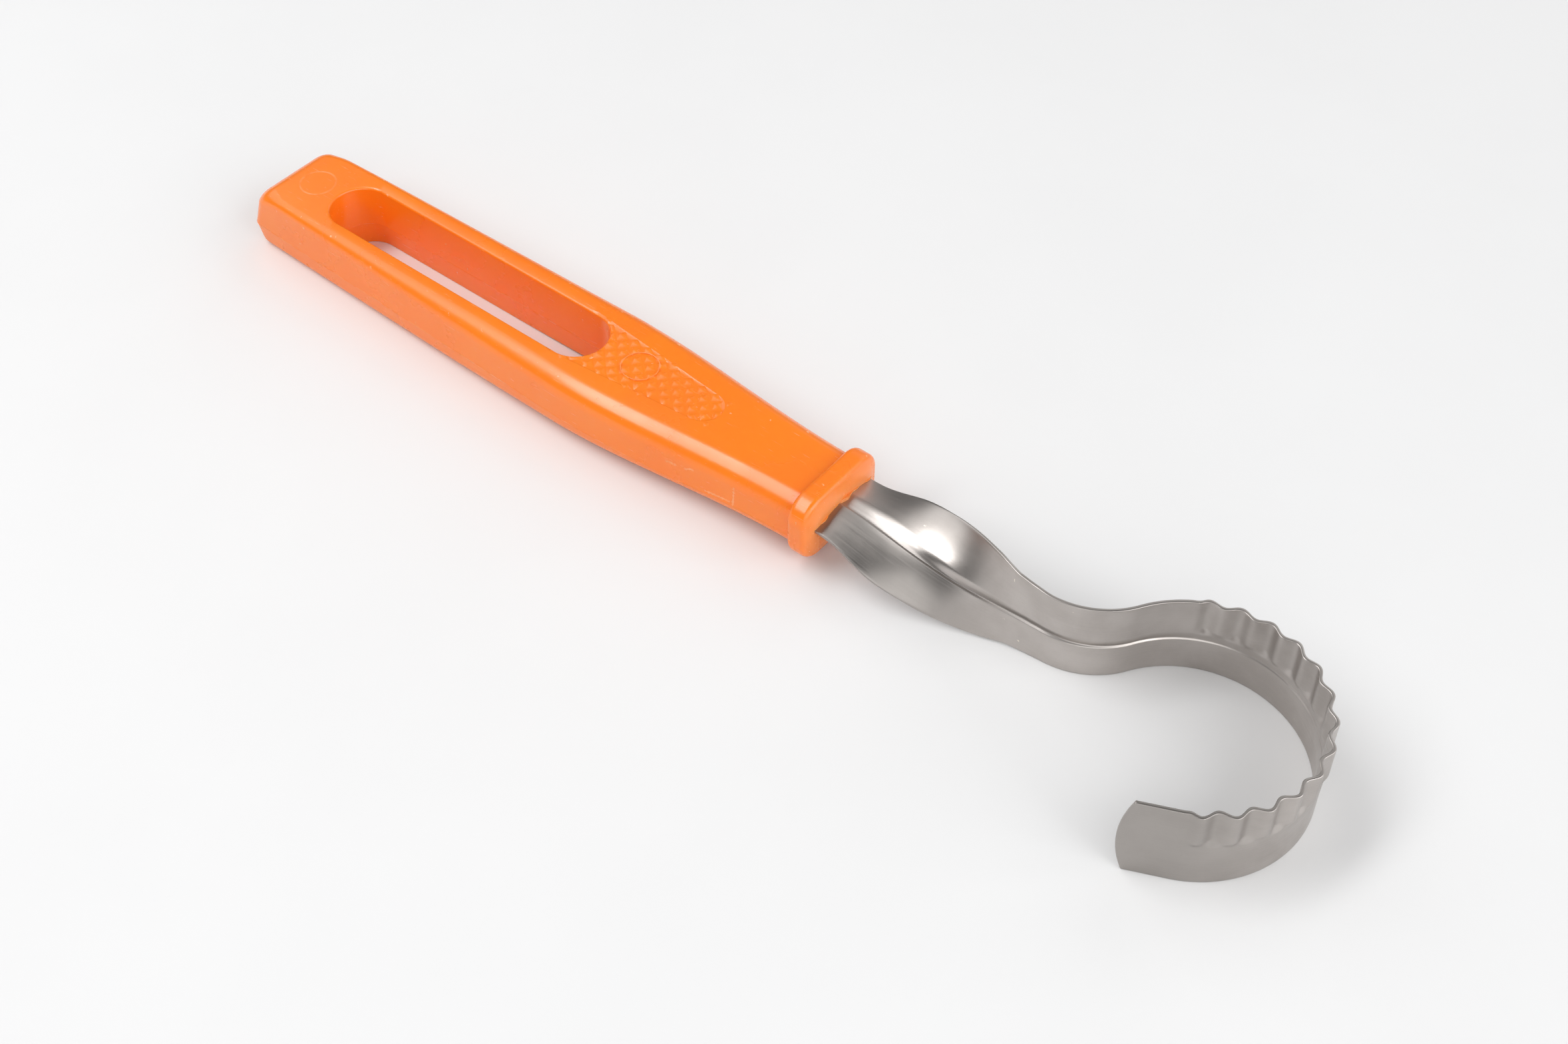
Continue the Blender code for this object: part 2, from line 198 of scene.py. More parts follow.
def make_handle_body():
    """A grid with one row per station, closed into a tube and capped at both ends."""
    places = []
    for step in range(END_STEPS):
        angle = radians(90) * step / END_STEPS
        places.append((FAR_END_X + END_ROUND * (1 - cos(angle)), END_ROUND * (1 - sin(angle))))
    places += [(x, 0.0) for x in even_steps(FAR_END_X + END_ROUND, COLLAR_X, BODY_STEP)]
    places.append((COLLAR_X, 0.0))
    outlines = [handle_outline(x, inset) for x, inset in places]
    rows, columns = len(outlines) - 1, len(outlines[0])
    work = bmesh.new()
    bmesh.ops.create_grid(work, x_segments=rows, y_segments=columns, size=1.0)
    for vert in work.verts:
        row = round((vert.co.x + 1) / 2 * rows)
        column = round((vert.co.y + 1) / 2 * columns)
        vert.co = outlines[row][column % columns]
    bmesh.ops.remove_doubles(work, verts=work.verts, dist=1e-7)
    ends = [edge for edge in work.edges if edge.is_boundary]
    bmesh.ops.holes_fill(work, edges=ends, sides=0)
    cap = min(work.faces, key=lambda face: face.calc_center_median().x)
    bmesh.ops.bisect_plane(work, geom=[cap, *cap.edges, *cap.verts], dist=1e-6,
                           plane_co=Vector((0, 0, PARTING_HEIGHT)), plane_no=Vector((0, 0, 1)))
    return add_object("handle_body", work)


body = make_handle_body()

# %% [markdown]
# ## The collar
# At the front the moulding ends in a collar: a short rounded plate that stands proud all round, whose
# front face slopes forward to where the steel comes out. A cube does for this: its four corner edges
# get a wide bevel, the rims a smaller one, and the front face is inset in small steps that each come
# forward a little.

# %% Make the collar
COLLAR_CORNER = 3.5 * MM
COLLAR_EDGE = 0.85 * MM
COLLAR_BAND = 3.25 * MM
FRONT_SLOPE = 2.2 * MM
FRONT_STEPS = 6
COLLAR_MIDDLE = (HANDLE_TOP + FRONT_LIFT) / 2


def make_collar():
    work = bmesh.new()
    bmesh.ops.create_cube(work, size=1.0)
    size = (COLLAR_BAND, FRONT_WIDTH + 2 * COLLAR_PROUD, HANDLE_TOP - FRONT_LIFT + 2 * COLLAR_PROUD)
    bmesh.ops.scale(work, vec=size, verts=work.verts)
    middle = COLLAR_X + (COLLAR_BAND - COLLAR_LENGTH) / 2
    bmesh.ops.translate(work, vec=(middle, 0, COLLAR_MIDDLE), verts=work.verts)
    along = [edge for edge in work.edges
             if abs(edge.verts[0].co.x - edge.verts[1].co.x) > COLLAR_BAND / 2]
    bmesh.ops.bevel(work, geom=along, offset=COLLAR_CORNER, affect='EDGES', segments=10, profile=0.5,
                    material=-1)
    rims = [edge for edge in work.edges
            if abs(edge.verts[0].co.x - edge.verts[1].co.x) < COLLAR_BAND / 2]
    bmesh.ops.bevel(work, geom=rims, offset=COLLAR_EDGE, affect='EDGES', segments=8, profile=0.5,
                    material=-1)
    front = max(work.faces, key=lambda face: face.calc_center_median().x)
    rise = 0.0
    for step in range(1, FRONT_STEPS + 1):
        bmesh.ops.inset_region(work, faces=[front], thickness=FRONT_SLOPE / FRONT_STEPS)
        forward = (COLLAR_LENGTH - COLLAR_BAND) * sin(radians(90) * step / FRONT_STEPS)
        bmesh.ops.translate(work, vec=(forward - rise, 0, 0), verts=front.verts)
        rise = forward
    return add_object("collar", work)


collar = make_collar()

# %% [markdown]
# ## The line of the steel strip
# The strip leaves the collar lying flat, twists until it stands on edge, swings to one side and then
# hooks round the other way. The cleanest way to draw it is to describe it as a maker bends it: s is
# the distance along its middle line from the collar, and for each s there is a place, a heading, a
# tilt and a width. Both the strip and the pocket that it leaves in the plastic use these functions.

# %% Path, tilt and width of the strip
STRIP_WIDTH = 13.5 * MM
STRIP_THICKNESS = 0.5 * MM
STRIP_HEIGHT = STRIP_WIDTH / 2
LEAVE_ANGLE = radians(-0.75)
BEND_START, BEND_RADIUS, BEND_ANGLE = 34.25 * MM, 12.0 * MM, radians(58.5)
HOOK_RADIUS, HOOK_ANGLE = 16.1 * MM, radians(213.2)
HOOK_START = BEND_START + BEND_RADIUS * BEND_ANGLE
TIP_START = HOOK_START + HOOK_RADIUS * HOOK_ANGLE
TIP_LENGTH = 7.0 * MM
STRIP_END = TIP_START + TIP_LENGTH
TWIST_START, TWIST_END = 1.4 * MM, 35.8 * MM
STAND_TILT = radians(91.5)
NECK_WIDTH, NECK_LENGTH = 12.3 * MM, 3.6 * MM
LEAF_WIDTH, LEAF_PLACE, LEAF_RUN_OUT = 13.8 * MM, 11.5 * MM, 5.0 * MM
LEAF_RISE = 0.25 * MM
WAIST_PLACE, WAIST_REACH, WAIST_DEPTH = 29.7 * MM, 3.5 * MM, 0.6 * MM
TANG_WIDTH, TANG_SHOULDER, TANG_TAPER = 8.6 * MM, 5.0 * MM, 6.0 * MM


def strip_path(s):
    """Place and heading of the strip's middle line."""
    straight = min(s, BEND_START)
    x = COLLAR_X + straight * cos(LEAVE_ANGLE)
    y = straight * sin(LEAVE_ANGLE)
    heading = LEAVE_ANGLE
    for start, end, radius in ((BEND_START, HOOK_START, BEND_RADIUS),
                               (HOOK_START, TIP_START, -HOOK_RADIUS)):
        turn = (min(max(s, start), end) - start) / radius
        x += radius * (sin(heading + turn) - sin(heading))
        y += radius * (cos(heading) - cos(heading + turn))
        heading += turn
    tip = max(s - TIP_START, 0.0)
    return x + tip * cos(heading), y + tip * sin(heading), heading


def strip_tilt(s):
    return STAND_TILT * ease((s - TWIST_START) / (TWIST_END - TWIST_START))


def strip_height(s):
    return STRIP_HEIGHT + LEAF_RISE * (1 - ease((s - TWIST_START) / LEAF_PLACE))


def out_of_tang(s):
    """0 along the flat tang and 1 from the collar on."""
    return ease((s + TANG_SHOULDER) / TANG_TAPER)


def strip_width(s):
    tang = TANG_WIDTH + (NECK_WIDTH - TANG_WIDTH) * out_of_tang(s)
    leaf = (LEAF_WIDTH - NECK_WIDTH) * ease((s - NECK_LENGTH) / (LEAF_PLACE - NECK_LENGTH))
    back = (LEAF_WIDTH - STRIP_WIDTH) * ease((s - LEAF_PLACE) / LEAF_RUN_OUT)
    waist = WAIST_DEPTH * max(0.0, 1 - abs(s - WAIST_PLACE) / WAIST_REACH)
    return tang + leaf - back - waist


print("strip length from the collar", round(STRIP_END / MM, 1), "mm")

# %% [markdown]
# Across its width the strip isn't flat. The leaf by the collar is arched, and a stiffening channel is
# pressed along its middle: one wall is steep and makes a crisp line, the other rises gently. Along
# the upper edge of the hook a press has left flutes. All three are heights over the flat strip, so
# they can be added up and pushed out along the strip's own normal.

# %% Heights across the strip
ARCH_HEIGHT, ARCH_POWER, ARCH_RUN_OUT = 1.2 * MM, 1.4, 24.0 * MM
CHANNEL_NEAR = -1.0 * MM
CHANNEL_DEPTH, CHANNEL_RUN_OUT = 0.46 * MM, 100.0 * MM
STEEP_WIDTH, STEEP_WIDTH_PAST_LEAF = 0.5 * MM, 0.28 * MM
GENTLE_END, GENTLE_END_PAST_LEAF = 1.9 * MM, 0.75 * MM
FLUTE_START = HOOK_START + 6.8 * MM
FLUTE_PITCH, FLUTE_COUNT, FLUTE_DEPTH = 4.09 * MM, 13, 0.36 * MM
FLUTE_END = FLUTE_START + FLUTE_COUNT * FLUTE_PITCH
FLUTE_FLOOR, FLUTE_FULL, FLUTE_GROWTH = 0.05, 0.25, 0.3


def arch_height(s, across):
    """Arch of the leaf, which leaves both edges of the strip where they are."""
    fade = out_of_tang(s) * (1 - ease((s - LEAF_PLACE) / ARCH_RUN_OUT))
    return ARCH_HEIGHT * fade * (1 - abs(across) ** ARCH_POWER)


def channel_walls(s):
    """Where the channel's steep wall and its gentle one end, both narrower past the leaf."""
    steep = STEEP_WIDTH + (STEEP_WIDTH_PAST_LEAF - STEEP_WIDTH) * ease((s - 6 * MM) / (9 * MM))
    gentle = GENTLE_END + (GENTLE_END_PAST_LEAF - GENTLE_END) * ease((s - 8 * MM) / (14 * MM))
    return CHANNEL_NEAR + steep, gentle


def channel_depth(s, offset):
    fade = out_of_tang(s) * (1 - ease((s - COLLAR_LENGTH / 2) / CHANNEL_RUN_OUT))
    floor, end = channel_walls(s)
    near = ease((offset - CHANNEL_NEAR) / (floor - CHANNEL_NEAR))
    far = 1 - ease((offset - floor) / (end - floor))
    return CHANNEL_DEPTH * fade * near * far


def flute_height(s, across):
    """Wave of the flutes in the upper half of the strip, deeper towards the tip."""
    fade = ease((s - FLUTE_START) / (FLUTE_PITCH / 2)) * ease((FLUTE_END - s) / (FLUTE_PITCH / 2))
    reach = ease((across - FLUTE_FLOOR) / (FLUTE_FULL - FLUTE_FLOOR))
    depth = FLUTE_DEPTH * (1 + FLUTE_GROWTH * ease((s - FLUTE_START) / (FLUTE_END - FLUTE_START)))
    return depth * fade * reach * cos(2 * pi * (s - FLUTE_START) / FLUTE_PITCH)


def strip_point(s, offset, channel=1.0, lift=0.0):
    """Point of the strip, offset metres from its middle line towards the upper edge."""
    x, y, heading = strip_path(s)
    tilt = strip_tilt(s)
    left = Vector((-sin(heading), cos(heading), 0))
    up = Vector((0, 0, 1))
    sideways = cos(tilt) * left + sin(tilt) * up
    normal = cos(tilt) * up - sin(tilt) * left
    across = min(max(2 * offset / strip_width(s), -1.0), 1.0)
    height = arch_height(s, across) - channel * channel_depth(s, offset) + flute_height(s, across)
    return Vector((x, y, strip_height(s))) + offset * sideways + (height + lift) * normal


# %% [markdown]
# The strip starts as a flat slab of grid cells. Each row goes to one place along the strip, and each
# column to one place across it, with most columns where the channel's steep wall is. Both sides of
# the slab are moved along the strip's own normal, so they can't cross each other in a sharp crease,
# and the steel gets thinner on a steep wall, as pressed sheet does. The place along and across is
# kept as a UV map, because the steel's rolling marks follow the strip round its bends. A small Bevel
# breaks the edges.

# %% Make the strip
COLUMN_STOPS = (-1.1 * MM, -0.4 * MM, 2.05 * MM)
COLUMN_COUNTS = (16, 16, 20, 16)
TIP_BULGE = 1.35 * MM
HIDDEN_TANG = 12.0 * MM


def strip_offset(s, column, extra=0.0):
    """Place across the strip of one column of the grid."""
    half = strip_width(s) / 2 + extra
    stops = (-half, *COLUMN_STOPS, half)
    for low, high, count in zip(stops, stops[1:], COLUMN_COUNTS):
        if column <= count:
            return low + (high - low) * column / count
        column -= count


def flat_slab(rows, columns):
    """A slab of grid cells, from -1 to 1 along and across and from -0.5 to 0.5 in thickness."""
    work = bmesh.new()
    bmesh.ops.create_grid(work, x_segments=rows, y_segments=columns, size=1.0)
    bmesh.ops.translate(work, vec=(0, 0, -0.5), verts=work.verts)
    raised = bmesh.ops.extrude_face_region(work, geom=work.faces, use_keep_orig=True)["geom"]
    upper = [item for item in raised if isinstance(item, bmesh.types.BMVert)]
    bmesh.ops.translate(work, vec=(0, 0, 1), verts=upper)
    return work


def make_strip_slab(places, thickness, extra=0.0):
    """A slab that follows the strip, one row per place, with the strip's own UV map."""
    rows, columns = len(places) - 1, sum(COLUMN_COUNTS)
    work = flat_slab(rows, columns)
    layer = work.loops.layers.uv.new("strip")
    flat = {}
    for vert in work.verts:
        s = places[round((vert.co.x + 1) / 2 * rows)]
        offset = strip_offset(s, round((vert.co.y + 1) / 2 * columns), extra)
        across = 2 * offset / strip_width(s)
        s -= TIP_BULGE * across * across * ease((s - TIP_START) / TIP_LENGTH)
        vert.co = strip_point(s, offset, lift=vert.co.z * thickness)
        flat[vert] = (s, offset)
    for face in work.faces:
        for loop in face.loops:
            loop[layer].uv = flat[loop.vert]
    return work


strip_places = even_steps(-HIDDEN_TANG, 0.0, 1.0 * MM) + even_steps(0.0, FLUTE_START, 0.42 * MM)
strip_places += even_steps(FLUTE_START, FLUTE_END, FLUTE_PITCH / 14)
strip_places += even_steps(FLUTE_END, STRIP_END, 0.5 * MM) + [STRIP_END]
blade = add_object("blade_strip", make_strip_slab(strip_places, STRIP_THICKNESS))
blade.data.shade_smooth()
edges = blade.modifiers.new("broken_edges", 'BEVEL')
edges.width = 0.09 * MM
edges.segments = 2
edges.limit_method = 'ANGLE'
edges.angle_limit = radians(60)
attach(blade, "root")
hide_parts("blade")

# %% [markdown]
# ## The lip round the steel
# Where the steel leaves the collar, the plastic has crept a little way along it and set as a thin wavy
# lip. It is the same slab again over a short length, thicker than the steel, whose front edge runs
# to and fro. The pocket is the strip's own shape with a hair of room round it.

# %% Make the lip and the pocket
LIP_WALL = 0.22 * MM
LIP_ROOT = 0.8 * MM
LIP_ROWS = 8
POCKET_ROOM = 0.02 * MM
POCKET_END, POCKET_STEP = 4.0 * MM, 0.42 * MM


def lip_reach(across):
    """How far along the strip the lip comes, wavy across the width."""
    wave = 0.16 * sin(7.0 * across + 0.6) + 0.09 * sin(17.0 * across)
    return (1.98 - 0.40 * across ** 4 + wave) * MM


def make_lip():
    columns = sum(COLUMN_COUNTS)
    work = flat_slab(LIP_ROWS, columns)
    for vert in work.verts:
        column = round((vert.co.y + 1) / 2 * columns)
        across = 2 * strip_offset(0.0, column) / strip_width(0.0)
        s = -LIP_ROOT + (vert.co.x + 1) / 2 * (lip_reach(across) + LIP_ROOT)
        lift = vert.co.z * (STRIP_THICKNESS + 2 * LIP_WALL)
        vert.co = strip_point(s, strip_offset(s, column, LIP_WALL), 0.0, lift)
    return add_object("lip", work)


def make_pocket():
    places = even_steps(-HIDDEN_TANG - POCKET_ROOM, POCKET_END, POCKET_STEP) + [POCKET_END]
    thickness = STRIP_THICKNESS + 2 * POCKET_ROOM
    return add_object("pocket", make_strip_slab(places, thickness, POCKET_ROOM))


lip = make_lip()
pocket = make_pocket()

# %% [markdown]
# ## The thumb patch and the pin marks
# Between the slot and the collar a shallow recess is filled with small raised pads, so the thumb
# doesn't slip. Each pad is a cone with four sides and a flat top, and they stand on a lattice that is
# turned by 45 degrees, so the pads touch corner to corner along the handle. Two thin rings are what
# the mould's ejector pins left behind: a small circle, spun round an upright axis.

# %% Make the patch, the pads and the rings
SLOT_WIDTH = 9.2 * MM
PATCH_LAND = 19.9 * MM
PATCH_FRONT_RADIUS = 3.0 * MM
PATCH_REAR_RADIUS = SLOT_WIDTH / 2 + 0.7 * MM
PATCH_DEPTH, PATCH_CHAMFER = 0.16 * MM, 0.4 * MM
PAD_PITCH, PAD_BASE, PAD_TOP, PAD_HEIGHT = 1.76 * MM, 1.56 * MM, 0.6 * MM, 0.22 * MM
PAD_ROOT, PAD_MARGIN = 0.04 * MM, 0.15 * MM
RING_RADIUS, RING_WIRE = 2.8 * MM, 0.06 * MM


def make_slotted_bar(name, rear, front, levels):
    """A round bar pulled into a slot shape; levels gives (height, rear radius, front radius)."""
    work = bmesh.new()
    made = bmesh.ops.create_cone(work, cap_ends=True, segments=64, radius1=1, radius2=1, depth=1)
    top = next(face for face in work.faces if face.normal.z > 0.9)
    rings = [[vert for vert in made["verts"] if vert.co.z < 0],
             [vert for vert in made["verts"] if vert.co.z > 0]]
    for _ in levels[2:]:
        top = bmesh.ops.extrude_discrete_faces(work, faces=[top])["faces"][0]
        rings.append(list(top.verts))
    for ring, (height, rear_radius, front_radius) in zip(rings, levels):
        for vert in ring:
            angle = atan2(vert.co.y, vert.co.x)
            ahead = cos(angle) > -1e-6
            radius = front_radius if ahead else rear_radius
            centre = front if ahead else rear
            vert.co = (centre + radius * cos(angle), radius * sin(angle), height)
    return add_object(name, work)


def make_pads(floor):
    """Pads on a lattice at 45 degrees, each a truncated pyramid rooted a little below the floor."""
    work = bmesh.new()
    slope = (PAD_BASE - PAD_TOP) / PAD_HEIGHT
    foot = (PAD_BASE + slope * PAD_ROOT) / 2 ** 0.5
    step = PAD_PITCH / 2 ** 0.5
    rear, front = COLLAR_X - SLOT_FRONT - 3 * MM, COLLAR_X - PATCH_LAND
    for row in range(ceil((front - rear) / step)):
        share = row * step / (front - rear)
        reach = PATCH_REAR_RADIUS + (PATCH_FRONT_RADIUS - PATCH_REAR_RADIUS) * share - PAD_MARGIN
        for column in range(-5, 6):
            if (row + column) % 2 == 0 and abs(column * step) < reach:
                place = Matrix.Translation((rear + row * step, column * step,
                                            floor + (PAD_HEIGHT - PAD_ROOT) / 2))
                bmesh.ops.create_cone(work, cap_ends=True, segments=4, radius1=foot,
                                      radius2=PAD_TOP / 2 ** 0.5, depth=PAD_HEIGHT + PAD_ROOT, matrix=place)
    return add_object("pads", work)


def make_ring(name, x, y, z):
    work = bmesh.new()
    turned = Matrix.Translation((x + RING_RADIUS, y, z)) @ Matrix.Rotation(radians(90), 4, 'X')
    made = bmesh.ops.create_circle(work, segments=8, radius=RING_WIRE, matrix=turned)
    bmesh.ops.spin(work, geom=made["verts"] + work.edges[:], cent=(x, y, z), axis=(0, 0, 1),
                   angle=radians(360), steps=48, use_merge=True)
    return add_object(name, work)


patch_floor = HANDLE_TOP - PATCH_DEPTH
patch = make_slotted_bar("patch", COLLAR_X - SLOT_FRONT - SLOT_WIDTH / 2,
                         COLLAR_X - PATCH_LAND - PATCH_FRONT_RADIUS,
                         [(patch_floor, PATCH_REAR_RADIUS - PATCH_CHAMFER,
                           PATCH_FRONT_RADIUS - PATCH_CHAMFER),
                          (HANDLE_TOP - 0.02 * MM, PATCH_REAR_RADIUS, PATCH_FRONT_RADIUS),
                          (HANDLE_TOP + 5 * MM, PATCH_REAR_RADIUS, PATCH_FRONT_RADIUS)])
pads = make_pads(patch_floor)
RING_PLACES = ((COLLAR_X - 101.7 * MM, 0.0, HANDLE_TOP - 0.03 * MM),
               (COLLAR_X - 35.1 * MM, 0.5 * MM, patch_floor + 0.20 * MM))
rear_ring = make_ring("rear_ring", *RING_PLACES[0])
patch_ring = make_ring("patch_ring", *RING_PLACES[1])

# %% [markdown]
# ## The hanging slot
# The slot goes right through the handle. Its walls lean a little from the parting line, so that the
# mould could open, and its upper rim is rounded. The cutter for it is a round bar pulled long, with
# one ring of points per level: the parting line is a level that is a hair narrower.

# %% Make the slot
SLOT_RIM = 0.42 * MM
RIM_STEPS = 5
WALL_LEAN = 0.12 * MM


def make_slot():
    radius = SLOT_WIDTH / 2
    low = radius + WALL_LEAN / 2
    high = radius + WALL_LEAN
    levels = [(-5 * MM, low, low),
              (PARTING_HEIGHT - PARTING_HALF, radius, radius),
              (PARTING_HEIGHT, radius - PARTING_RIDGE, radius - PARTING_RIDGE),
              (PARTING_HEIGHT + PARTING_HALF, radius, radius)]
    for step in range(RIM_STEPS + 1):
        angle = radians(90) * step / RIM_STEPS
        flare = high - WALL_LEAN * SLOT_RIM / HANDLE_TOP + SLOT_RIM * (1 - cos(angle))
        levels.append((HANDLE_TOP - SLOT_RIM * (1 - sin(angle)), flare, flare))
    levels.append((HANDLE_TOP + 5 * MM, high + SLOT_RIM, high + SLOT_RIM))
    rear = FAR_END_X + SLOT_END_WALL + radius
    return make_slotted_bar("slot", rear, COLLAR_X - SLOT_FRONT - radius, levels)


slot = make_slot()

# %% [markdown]
# ## Putting the handle together
# The pieces of the moulding are joined and cut with Boolean modifiers, one after the other. A Boolean
# that fails can leave nothing of the handle: the count of faces below shows whether all went well.
# The result is read from Blender's evaluated copy and becomes the handle's own mesh, so no cutter is
# left in the scene. Edges that bend by more than 35 degrees stay sharp, the rest is shaded smooth.

# %% Join and cut the handle
STEPS = [(collar, 'UNION'), (lip, 'UNION'), (patch, 'DIFFERENCE'), (pads, 'UNION'),
         (rear_ring, 'UNION'), (patch_ring, 'UNION'), (slot, 'DIFFERENCE'), (pocket, 'DIFFERENCE')]


def finish_handle():
    for operand, operation in STEPS:
        modifier = body.modifiers.new(operand.name, 'BOOLEAN')
        modifier.operation = operation
        modifier.solver = 'EXACT'
        modifier.object = operand
    graph = bpy.context.evaluated_depsgraph_get()
    mesh = bpy.data.meshes.new_from_object(body.evaluated_get(graph))
    mesh.name = "handle_body"
    body.modifiers.clear()
    body.data = mesh
    for operand, _ in STEPS:
        bpy.data.objects.remove(operand, do_unlink=True)
    work = bmesh.new()
    work.from_mesh(mesh)
    open_edges = sum(not edge.is_manifold for edge in work.edges)
    work.free()
    mesh.shade_smooth()
    mesh.set_sharp_from_angle(angle=radians(35))
    weights = body.modifiers.new("flat_faces_stay_flat", 'WEIGHTED_NORMAL')
    weights.keep_sharp = True
    print("handle", len(mesh.vertices), "vertices", len(mesh.polygons), "faces", open_edges, "open edges")


finish_handle()
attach(body, "root")
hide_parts("handle")

# %% [markdown]
# ## Node groups that both finishes use
# Used plastic and used steel share a few things: a soft unevenness of tone, small specks where
# something has nicked the surface, and thin lines. Each is a node group with its own sizes, so that
# the materials stay short. They read the place on the object and put out a mask between 0 and 1.

# %% Helpers for node trees


def new_group(name, inputs, outputs):
    """An empty shader node group with the given sockets, and its two end nodes."""
    tree = bpy.data.node_groups.new(name, 'ShaderNodeTree')
    for label, kind, value in inputs:
        socket = tree.interface.new_socket(label, in_out='INPUT', socket_type=kind)
        if value is not None:
            socket.default_value = value
    for label in outputs:
        tree.interface.new_socket(label, in_out='OUTPUT', socket_type='NodeSocketFloat')
    return tree, tree.nodes.new('NodeGroupInput'), tree.nodes.new('NodeGroupOutput')


def add_math(tree, operation, first, second=None, clamp=False):
    node = tree.nodes.new('ShaderNodeMath')
    node.operation = operation
    node.use_clamp = clamp
    for socket, value in zip(node.inputs, (first, second)):
        set_input(tree, socket, value)
    return node.outputs[0]


def set_input(tree, socket, value):
    """Link a socket to an input, or write a plain value there."""
    if isinstance(value, bpy.types.NodeSocket):
        tree.links.new(value, socket)
    elif value is not None:
        socket.default_value = value


def add_noise(tree, vector, scale, detail=3.0, roughness=0.55):
    node = tree.nodes.new('ShaderNodeTexNoise')
    for name, value in (("Vector", vector), ("Scale", scale), ("Detail", detail),
                        ("Roughness", roughness)):
        set_input(tree, node.inputs[name], value)
    return node.outputs["Fac"]


def add_range(tree, value, low, high, out_low=0.0, out_high=1.0):
    """Map a value from one range to another, with soft ends."""
    node = tree.nodes.new('ShaderNodeMapRange')
    node.interpolation_type = 'SMOOTHSTEP'
    for name, item in (("Value", value), ("From Min", low), ("From Max", high), ("To Min", out_low),
                       ("To Max", out_high)):
        set_input(tree, node.inputs[name], item)
    return node.outputs["Result"]


def add_mix(tree, factor, first, second):
    """Mix two colours."""
    node = tree.nodes.new('ShaderNodeMix')
    node.data_type = 'RGBA'
    for socket, value in ((node.inputs[0], factor), (node.inputs[6], first), (node.inputs[7], second)):
        if isinstance(value, tuple):
            value = (*value, 1.0)
        set_input(tree, socket, value)
    return node.outputs[2]


def add_vector_math(tree, operation, first, second=None):
    node = tree.nodes.new('ShaderNodeVectorMath')
    node.operation = operation
    set_input(tree, node.inputs[0], first)
    set_input(tree, node.inputs["Scale" if operation == 'SCALE' else 1], second)
    plain = operation in ('DOT_PRODUCT', 'DISTANCE', 'LENGTH')
    return node.outputs["Value"] if plain else node.outputs[0]


def add_axis(tree, vector, axis):
    """One coordinate of a vector."""
    node = tree.nodes.new('ShaderNodeSeparateXYZ')
    tree.links.new(vector, node.inputs[0])
    return node.outputs[axis]


def add_band(tree, gap, half_width):
    """1 where the gap is nothing, falling to 0 at the half width."""
    return add_math(tree, 'SUBTRACT', 1.0, add_math(tree, 'DIVIDE', gap, half_width), clamp=True)


# %% Uneven tone and small nicks
def make_uneven_tone():
    """Soft clouds of tone, from broad patches down to a fine mottle."""
    tree, start, end = new_group("uneven_tone", [("Vector", 'NodeSocketVector', None),
                                                 ("Patch Size", 'NodeSocketFloat', 0.01)], ["Tone"])
    scale = add_math(tree, 'DIVIDE', 1.0, start.outputs["Patch Size"])
    tree.links.new(add_range(tree, add_noise(tree, start.outputs["Vector"], scale, 4.0), 0.32, 0.68),
                   end.inputs["Tone"])
    return tree


def make_small_nicks():
    """Sparse ragged specks: one in some of a Voronoi texture's cells, each of its own size."""
    tree, start, end = new_group("small_nicks", [("Vector", 'NodeSocketVector', None),
                                                 ("Spacing", 'NodeSocketFloat', 0.002),
                                                 ("Nick Size", 'NodeSocketFloat', 0.0002),
                                                 ("Share", 'NodeSocketFloat', 0.5)], ["Nicks"])
    size = start.outputs["Nick Size"]
    ragged = tree.nodes.new('ShaderNodeTexNoise')
    tree.links.new(start.outputs["Vector"], ragged.inputs["Vector"])
    tree.links.new(add_math(tree, 'DIVIDE', 0.8, size), ragged.inputs["Scale"])
    shift = add_vector_math(tree, 'SUBTRACT', ragged.outputs["Color"], (0.5, 0.5, 0.5))
    shift = add_vector_math(tree, 'SCALE', shift, add_math(tree, 'MULTIPLY', size, 3.0))
    cells = tree.nodes.new('ShaderNodeTexVoronoi')
    tree.links.new(add_vector_math(tree, 'ADD', start.outputs["Vector"], shift), cells.inputs["Vector"])
    tree.links.new(add_math(tree, 'DIVIDE', 1.0, start.outputs["Spacing"]), cells.inputs["Scale"])
    chance = tree.nodes.new('ShaderNodeSeparateColor')
    tree.links.new(cells.outputs["Color"], chance.inputs[0])
    reach = add_math(tree, 'DIVIDE', size, start.outputs["Spacing"])
    reach = add_math(tree, 'MULTIPLY', reach, add_range(tree, chance.outputs["Green"], 0, 1, 0.35, 1.0))
    speck = add_range(tree, cells.outputs["Distance"], add_math(tree, 'MULTIPLY', reach, 0.4), reach, 1, 0)
    keep = add_math(tree, 'LESS_THAN', chance.outputs["Red"], start.outputs["Share"])
    tree.links.new(add_math(tree, 'MULTIPLY', speck, keep), end.inputs["Nicks"])
    return tree


